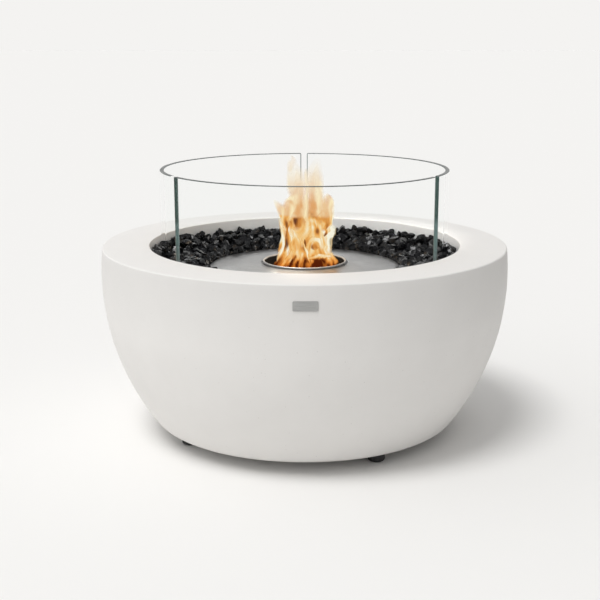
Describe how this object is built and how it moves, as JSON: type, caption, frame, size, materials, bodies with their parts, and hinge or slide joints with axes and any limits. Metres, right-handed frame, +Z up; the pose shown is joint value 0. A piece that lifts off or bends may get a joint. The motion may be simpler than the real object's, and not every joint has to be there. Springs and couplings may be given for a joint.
{
  "type": "fire bowl",
  "caption": "Round cast fire bowl on rubber feet with a drop-in liquid-fuel burner, a bed of broken-glass lumps and a round screen of curved glass panels; burner and panels lift out.",
  "frame": {"origin": "on the floor under the centre of the bowl, in the plane of the feet's soles", "axes": "+Z up; the front, with the small bare plate, faces -Y; +X is to the right seen from the front"},
  "size_m": [0.6, 0.601, 0.3915],
  "materials": {
    "cast_white": "matt, fine cast surface",
    "cover_paint": "matt powder coat",
    "bright_steel": "plain",
    "brass": "turned",
    "plate_steel": "brushed, bare",
    "pad_foam": "foam tape",
    "fibre": "ceramic fibre felt",
    "burner_steel": "brushed",
    "collar_steel": "polished roll",
    "dark_steel": "mill finish",
    "foot_rubber": "satin moulded",
    "liner_silicone": "matt silicone",
    "clear_glass": "clear toughened, ground edges",
    "black_glass": "broken, glossy"
  },
  "bodies": {
    "bowl": {"bowl": "cast_white", "base_cover": "cover_paint", "cover_screws": "bright_steel", "foot_front_right": "foot_rubber", "foot_back_right": "foot_rubber", "foot_back_left": "foot_rubber", "foot_front_left": "foot_rubber", "foot_inserts": "brass", "foot_screws": "bright_steel", "front_plate": "plate_steel", "front_plate_pad": "pad_foam", "burner_gasket": "fibre", "shoe_front_1": "dark_steel", "shoe_front_2": "dark_steel", "shoe_right_1": "dark_steel", "shoe_right_2": "dark_steel", "shoe_left_1": "dark_steel", "shoe_left_2": "dark_steel", "liner_front_1": "liner_silicone", "liner_front_2": "liner_silicone", "liner_right_1": "liner_silicone", "liner_right_2": "liner_silicone", "liner_left_1": "liner_silicone", "liner_left_2": "liner_silicone", "shoe_screws": "bright_steel", "lumps_inside": "black_glass", "lumps_outside": "black_glass"},
    "burner": {"burner_plate": "burner_steel", "burner_collar": "collar_steel", "burner_baffle": "dark_steel", "burner_skin": "dark_steel", "fuel_tank": "dark_steel", "tank_spacers": "fibre", "fuel_wool": "fibre"},
    "front_glass": {"glass_front": "clear_glass"},
    "right_glass": {"glass_right": "clear_glass"},
    "left_glass": {"glass_left": "clear_glass"}
  },
  "joints": [
    {"name": "burner_lift", "type": "slide", "parent": "bowl", "child": "burner", "axis": [0, 0, 1], "range_m": [0, 0.15]},
    {"name": "front_glass_lift", "type": "slide", "parent": "bowl", "child": "front_glass", "axis": [0, 0, 1], "range_m": [0, 0.06]},
    {"name": "right_glass_lift", "type": "slide", "parent": "bowl", "child": "right_glass", "axis": [0, 0, 1], "range_m": [0, 0.06]},
    {"name": "left_glass_lift", "type": "slide", "parent": "bowl", "child": "left_glass", "axis": [0, 0, 1], "range_m": [0, 0.06]}
  ]
}
